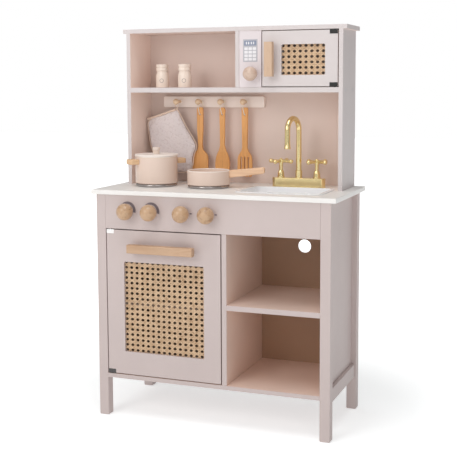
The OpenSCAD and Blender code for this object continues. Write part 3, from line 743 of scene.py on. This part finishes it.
def vessel(node, name):
    """A turned pot or pan: rounded foot, straight wall, rounded rim and a hollow inside."""
    lo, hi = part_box(node)
    r, h = (hi.x - lo.x) / 2, hi.z - lo.z
    wall, base, foot, lip = 4 * MM, 5 * MM, 3 * MM, 1.6 * MM
    inner = r - wall
    profile = [(0, 0), (r - foot - 6 * MM, 0)]
    profile += arc(r - foot, foot, foot, -90, 0, 6)
    profile += arc(r - lip, h - lip, lip, 0, 90, 5)
    profile += arc(inner + lip, h - lip, lip, 90, 180, 5)
    profile += arc(inner - foot, base + foot, foot, 0, -90, 5)
    profile += [(0, base)]
    bm = lathe(profile, ((lo.x + hi.x) / 2, (lo.y + hi.y) / 2, lo.z))
    # The rim's top takes the paler lid paint: a painted highlight where the light falls on the rim.
    for f in bm.faces:
        f.material_index = 1 if f.calc_center_median().z > hi.z - lip else 0
    piece(name, bm, [M["cream"], M["lid"]], BODY_OF[node], (node,), 50)


def cookware():
    vessel("pot_body", "pot_turned")
    vessel("pan_body", "pan_turned")
    refined("pot_lid", [M["lid"]], radius=1.4 * MM, segments=3)
    neck_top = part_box("lid_knob")[0].z + 8.6 * MM
    refined("lid_knob", [M["lid_knob"], M["turned"]], lambda c, n: 1 if c.z < neck_top else 0,
            radius=0.8 * MM, segments=3)
    refined("pot_handles", [M["pot_beech"]], radius=2.5 * MM, segments=4)
    refined("pan_handle", [M["pan_beech"]], radius=3.0 * MM, segments=4)
    for node in ("shaker_left", "shaker_right"):
        refined(node, [M["turned"]], radius=0.6 * MM)
        shaker_print(node)


def shaker_print(node):
    """A small printed ring on the front of a shaker's body, a little to the right."""
    lo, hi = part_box(node)
    x, y, r = (lo.x + hi.x) / 2, (lo.y + hi.y) / 2, (hi.x - lo.x) / 2
    ring, line, height = 4.6 * MM, 0.55 * MM, 17 * MM
    points = []
    for dx, dz in arc(0, 0, ring, 0, 350, 35):
        turn = dx / r + math.radians(16)
        points.append((x + r * math.sin(turn), y - r * math.cos(turn), lo.z + height + dz))
    bm = tube(points, line, 6, closed=True)
    piece(node + "_mark", bm, [M["mark"]], BODY_OF[node])


# ---------------------------------------------------------------- utensils

STRING = 1.1 * MM  # radius of a string
PEG = 4.0 * MM  # radius of a peg's neck


def peg_centres():
    """The pegs' axes as (x, z), from left to right."""
    lo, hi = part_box("hook_pegs")
    z = (lo.z + hi.z) / 2
    head = (hi.z - lo.z) / 2
    first, last = lo.x + head, hi.x - head
    return [(first + (last - first) * i / 3, z) for i in range(4)]


def over_peg(peg, foot, front, back):
    """Points of a string that rises from a height, lies over a peg and comes down again. It goes from
    front to back on the way."""
    x, z = peg
    r = PEG + STRING + 0.1 * MM
    rise = [(r * math.sin(k / 9 * math.pi / 2), foot + (z - foot) * k / 9) for k in range(1, 9)]
    points = [(x - out, front, height) for out, height in rise]
    for k in range(13):
        u = k / 12
        a = math.pi * (1 - u)
        points.append((x + r * math.cos(a), front + (back - front) * u, z + r * math.sin(a)))
    points += [(x + out, back, height) for out, height in reversed(rise)]
    return points


def hanging_loop(node, peg, hole_z, front, back):
    """A string that goes through a utensil's hole, up its front, over the peg and down its back."""
    x = peg[0]
    points = [(x, (front + back) / 2, hole_z), (x, front, hole_z + 0.5 * MM)]
    points += over_peg(peg, hole_z, front, back)
    points.append((x, back, hole_z + 0.5 * MM))
    piece(node + "_string", tube(points, STRING, 8, closed=True), [M["string"]],
          BODY_OF[node])


def wooden(node, front):
    """The utensil's own solid, without the loop that stands in front of it."""
    bm = solid_of(node)
    loop = [v for v in bm.verts if v.co.y < front - 0.2 * MM]
    bmesh.ops.delete(bm, geom=loop, context="VERTS")
    return bm


def remeshed(name, bm, voxel):
    """An object whose mesh is the bmesh's form in even squares."""
    o = add_object(name, mesh_of(name, bm))
    remesh = o.modifiers.new("remesh", "REMESH")
    remesh.mode = "VOXEL"
    remesh.voxel_size = voxel
    return o


def evaluated(o):
    """A new mesh that has the object's modifiers applied."""
    dg = bpy.context.evaluated_depsgraph_get()
    return bpy.data.meshes.new_from_object(o.evaluated_get(dg))


def dished(bm, x, front, foot):
    """Rounds the spoon over and hollows its bowl, whose middle is at x."""
    o = remeshed("spoon_blank", bm, 1.1 * MM)
    o.modifiers.new("smooth", "SMOOTH").iterations = 2
    made = evaluated(o)
    bpy.data.objects.remove(o)
    out = bmesh.new()
    out.from_mesh(made)
    bpy.data.meshes.remove(made)
    half_w, half_h, deep, skin = 16.5 * MM, 30 * MM, 2.6 * MM, 2.5 * MM
    centre = foot + half_h
    for v in out.verts:
        inside = 1 - ((v.co.x - x) / half_w) ** 2 - ((v.co.z - centre) / half_h) ** 2
        if inside > 0 and v.co.y < front + skin:
            v.co.y += deep * inside ** 0.6
    return out


def utensils():
    pegs = peg_centres()
    loop_depth = 2.2 * MM  # how far a CAD loop stands in front of its utensil
    for node, peg in zip(("spatula", "spoon", "fork"), pegs[1:]):
        lo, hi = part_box(node)
        front = lo.y + loop_depth
        bm = wooden(node, front)
        top = max(v.co.z for v in bm.verts)
        if node == "spoon":
            bm = dished(bm, peg[0], front, lo.z)
        else:
            round_edges(bm, 1.3 * MM, 3)
        finished(node, bm, [M["utensil"]], weight=50)
        hanging_loop(node, peg, top - 18 * MM, front - STRING, hi.y + STRING)


# ---------------------------------------------------------------- mitt

def inset(outline, d):
    """An outline in the XZ plane moved inwards by d, whichever way round the outline runs."""
    n = len(outline)
    area = sum(outline[i][0] * outline[(i + 1) % n][1] - outline[(i + 1) % n][0] * outline[i][1]
               for i in range(n))
    way = 1 if area > 0 else -1
    out = []
    for i, (x, z) in enumerate(outline):
        ax, az = outline[i - 1]
        bx, bz = outline[(i + 1) % n]
        t = Vector((bx - ax, bz - az)).normalized()
        out.append((x - t.y * d * way, z + t.x * d * way))
    return out


def softened(outline, rounds=2):
    """Cuts an outline's corners a few times over, so that it runs smoothly."""
    for _ in range(rounds):
        cut = []
        for i, p in enumerate(outline):
            q = outline[(i + 1) % len(outline)]
            cut.append((p[0] * 0.8 + q[0] * 0.2, p[1] * 0.8 + q[1] * 0.2))
            cut.append((p[0] * 0.2 + q[0] * 0.8, p[1] * 0.2 + q[1] * 0.8))
        outline = cut
    return outline


def inflate(bm, voxel, pressure, cap):
    """Fills a thin closed form as a padded one: a cloth simulation under pressure, with each
    point's travel capped. Returns the swollen form as a bmesh."""
    o = remeshed("pad", bm, voxel)
    even = evaluated(o)
    o.modifiers.clear()
    o.data = even
    scene = bpy.context.scene
    m = o.modifiers.new("cloth", "CLOTH")
    m.settings.quality = 6
    m.settings.mass = 0.2
    m.settings.use_pressure = True
    m.settings.uniform_pressure_force = pressure
    m.settings.effector_weights.gravity = 0
    for f in range(1, 21):
        scene.frame_set(f)
    dg = bpy.context.evaluated_depsgraph_get()
    swollen = o.evaluated_get(dg).data
    moves = [b.co - a.co for a, b in zip(even.vertices, swollen.vertices)]
    for v, move in zip(even.vertices, moves):
        if move.length > cap:
            move = move.normalized() * cap
        v.co = v.co + move
    o.modifiers.clear()
    scene.frame_set(1)
    out = bmesh.new()
    out.from_mesh(even)
    bpy.data.objects.remove(o)
    return out


def mitt():
    """A quilted mitt that hangs by a loop at the corner of its cuff."""
    cad = solid_of("oven_mitt")
    face = max((f for f in cad.faces if f.normal.y < -0.9), key=lambda f: f.calc_area())
    outline = [(v.co.x, v.co.z) for v in face.verts]
    cad.free()
    thick, cuff_w = 10 * MM, 45 * MM
    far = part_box("oven_mitt")[1].y
    near = far - thick
    top = max(outline, key=lambda p: p[1])
    cuff = min((p for p in outline if p[1] > top[1] - cuff_w), key=lambda p: p[0])
    along = Vector((top[0] - cuff[0], top[1] - cuff[1])).normalized()
    mitt_body(outline, cuff, along, near, far)
    mitt_trim(outline, cuff, top, along, near, far)
    mitt_loop(top, (near + far) / 2)


def mitt_body(outline, cuff, along, near, far):
    """The padded form with diamond quilting, whose lines run at 45 degrees to the cuff."""
    middle_y = (near + far) / 2
    half = 2.4 * MM
    bm = slab(softened(inset(outline, 0.9 * MM), 1), middle_y - half, middle_y + half)
    bm = inflate(bm, voxel=3.0 * MM, pressure=4.0, cap=3.2 * MM)
    bmesh.ops.subdivide_edges(bm, edges=bm.edges, cuts=1, use_grid_fill=True, smooth=0.4)
    bmesh.ops.smooth_vert(bm, verts=bm.verts, factor=0.5, use_axis_x=True, use_axis_y=True,
                          use_axis_z=True)
    across = Vector((-along.y, along.x))
    pitch, deep, wide, clear = 17.0 * MM, 1.6 * MM, 2.8 * MM, 0.2 * MM
    bm.normal_update()
    for v in bm.verts:
        p = Vector((v.co.x - cuff[0], v.co.z - cuff[1]))
        a, b = p.dot(along), p.dot(across)
        groove = 0.0
        for t in (a + b, a - b):
            off = abs((t / (pitch * 1.414) + 0.5) % 1.0 - 0.5) * pitch
            groove = max(groove, 1 - off / wide)
        crumple = noise.noise(Vector((v.co.x, v.co.y * 0.5, v.co.z)) * 38.0) * 0.6 * MM
        way = 1 if v.co.y > middle_y else -1
        v.co.y += way * (crumple - deep * max(groove, 0.0)) * min(1.0, abs(v.normal.y) * 1.5)
        v.co.y = min(max(v.co.y, near + clear), far - clear)
    body = piece("mitt_quilted", bm, [M["cotton"]], "mitt", ("oven_mitt",), 180)
    smooth = body.modifiers.new("soften", "SUBSURF")
    smooth.levels = smooth.render_levels = 1


def mitt_trim(outline, cuff, top, along, near, far):
    """The cuff's binding with its row of stitches, and the piping along the seam."""
    across = Vector((-along.y, along.x))
    down = -across if across.y > 0 else across
    a, b = Vector(cuff) + along * 1.5 * MM, Vector(top) - along * 1.0 * MM
    depth, row = 5 * MM, 4.2 * MM
    strip = [a, b, b + down * depth, a + down * depth]
    band = slab([(p.x, p.y) for p in strip], near + 0.6 * MM, far - 0.6 * MM)
    round_edges(band, 2.2 * MM, 4)
    seam = softened(inset(outline, 1.5 * MM))
    piping = tube([(x, (near + far) / 2, z) for x, z in seam], 1.2 * MM, 8, closed=True)
    stitches = []
    pitch, length, thread = 3.2 * MM, 1.9 * MM, 0.28 * MM
    end_y, crest_y = near + 0.65 * MM, near + 0.3 * MM
    count = int((b - a).length / pitch)
    for i in range(count):
        p = a + (b - a) * ((i + 0.3) / count) + down * row
        q = p + along * length
        m = (p + q) / 2
        stitches.append(tube([(p.x, end_y, p.y), (m.x, crest_y, m.y), (q.x, end_y, q.y)], thread, 6))
    piece("mitt_binding", merge(band, piping, *stitches), [M["binding"]], "mitt",
          (), 60)


def mitt_loop(top, y):
    """The loop from the cuff's top corner over the first peg."""
    peg = peg_centres()[0]
    foot = top[1] - 4 * MM
    points = [(peg[0], y, foot)] + over_peg(peg, foot, y, y)
    piece("mitt_loop", tube(points, STRING, 8, closed=True), [M["binding"]], "mitt")


# ---------------------------------------------------------------- stage, light and camera

def stage():
    """A white floor that glows more with distance, so that it fades into the background."""
    grid = bmesh.new()
    bmesh.ops.create_grid(grid, x_segments=1, y_segments=1, size=12.0)
    s = Shader("floor_white", Roughness=0.9, Emission_Color=WHITE)
    away = s.node("ShaderNodeVectorMath", {0: s.place()}, operation="LENGTH").outputs["Value"]
    glow = s.node("ShaderNodeMapRange", {"Value": away},
                  {"From Min": 0.45, "From Max": 1.15, "To Min": 0.4, "To Max": 1.0})
    seen = s.grey(s.node("ShaderNodeLightPath").outputs["Is Camera Ray"], 0.5, 1.0)
    s.feed("Emission Strength", s.math("MULTIPLY", glow.outputs["Result"], seen))
    cloud = s.noise(s.place(), 3.0)
    s.feed("Base Color", s.ramp(cloud, (0.3, (0.90, 0.935, 0.945, 1)), (0.7, (0.92, 0.955, 0.965, 1))))
    floor = mesh_of("floor", grid)
    floor.materials.append(s.mat)
    add_object("floor", floor)


def area_light(name, place, target, size, power, colour=(1, 1, 1)):
    data = bpy.data.lights.new(name, "AREA")
    data.shape = "DISK"
    data.size = size
    data.energy = power
    data.color = colour
    o = add_object(name, data)
    o.location = place
    o.rotation_euler = (Vector(target) - Vector(place)).to_track_quat("-Z", "Y").to_euler()


def studio():
    """White to the camera, but as a light it is brightest from the upper front left."""
    world = bpy.data.worlds.new("studio")
    bpy.context.scene.world = world
    world.use_nodes = True
    tree = world.node_tree
    tree.nodes.clear()
    coords = tree.nodes.new("ShaderNodeTexCoord")
    dot = tree.nodes.new("ShaderNodeVectorMath")
    dot.operation = "DOT_PRODUCT"
    dot.inputs[1].default_value = Vector((-0.55, -0.65, 0.52)).normalized()
    level = tree.nodes.new("ShaderNodeMapRange")
    for key, value in (("From Min", -0.8), ("From Max", 0.9), ("To Min", 0.22), ("To Max", 0.56)):
        level.inputs[key].default_value = value
    lit = tree.nodes.new("ShaderNodeBackground")
    lit.inputs["Color"].default_value = (1.0, 0.985, 0.975, 1)
    seen = tree.nodes.new("ShaderNodeBackground")
    seen.inputs["Color"].default_value = WHITE
    path = tree.nodes.new("ShaderNodeLightPath")
    mix = tree.nodes.new("ShaderNodeMixShader")
    out = tree.nodes.new("ShaderNodeOutputWorld")
    link = tree.links.new
    link(coords.outputs["Generated"], dot.inputs[0])
    link(dot.outputs["Value"], level.inputs["Value"])
    link(level.outputs["Result"], lit.inputs["Strength"])
    link(path.outputs["Is Camera Ray"], mix.inputs["Fac"])
    link(lit.outputs[0], mix.inputs[1])
    link(seen.outputs[0], mix.inputs[2])
    link(mix.outputs[0], out.inputs["Surface"])


def lights():
    area_light("key", (-1.0, -2.8, 1.9), (0, 0, 0.5), 1.5, 20, (1.0, 0.985, 0.965))
    area_light("fill", (1.6, -2.5, 1.4), (0, 0, 0.55), 1.4, 5)
    area_light("overhead", (0.2, -0.8, 2.8), (0, 0, 0.5), 1.6, 18)


def camera():
    """Eye level with the hutch, to the right of the middle, aimed a little down."""
    place = Vector((0.8357, -2.1752, 0.7970))
    yaw, pitch, roll = 0.3652, -0.1041, -0.0042
    data = bpy.data.cameras.new("camera")
    data.sensor_width = 36.0
    data.lens = 77.3015
    data.shift_y = -0.0908
    data.clip_end = 50
    forward = Vector((-math.sin(yaw) * math.cos(pitch), math.cos(yaw) * math.cos(pitch),
                      math.sin(pitch)))
    right = Vector((math.cos(yaw), math.sin(yaw), 0))
    up = right.cross(forward)
    rolled_right = right * math.cos(roll) + up * math.sin(roll)
    rolled_up = up * math.cos(roll) - right * math.sin(roll)
    basis = Matrix((rolled_right, rolled_up, -forward)).transposed()
    o = add_object("camera", data)
    o.matrix_world = Matrix.Translation(place) @ basis.to_4x4()
    bpy.context.scene.camera = o


bpy.context.scene.view_settings.view_transform = "Standard"
camera()
cabinet()
hutch()
doors()
knobs()
dials()
keypad()
faucet()
cookware()
utensils()
mitt()
stage()
studio()
lights()
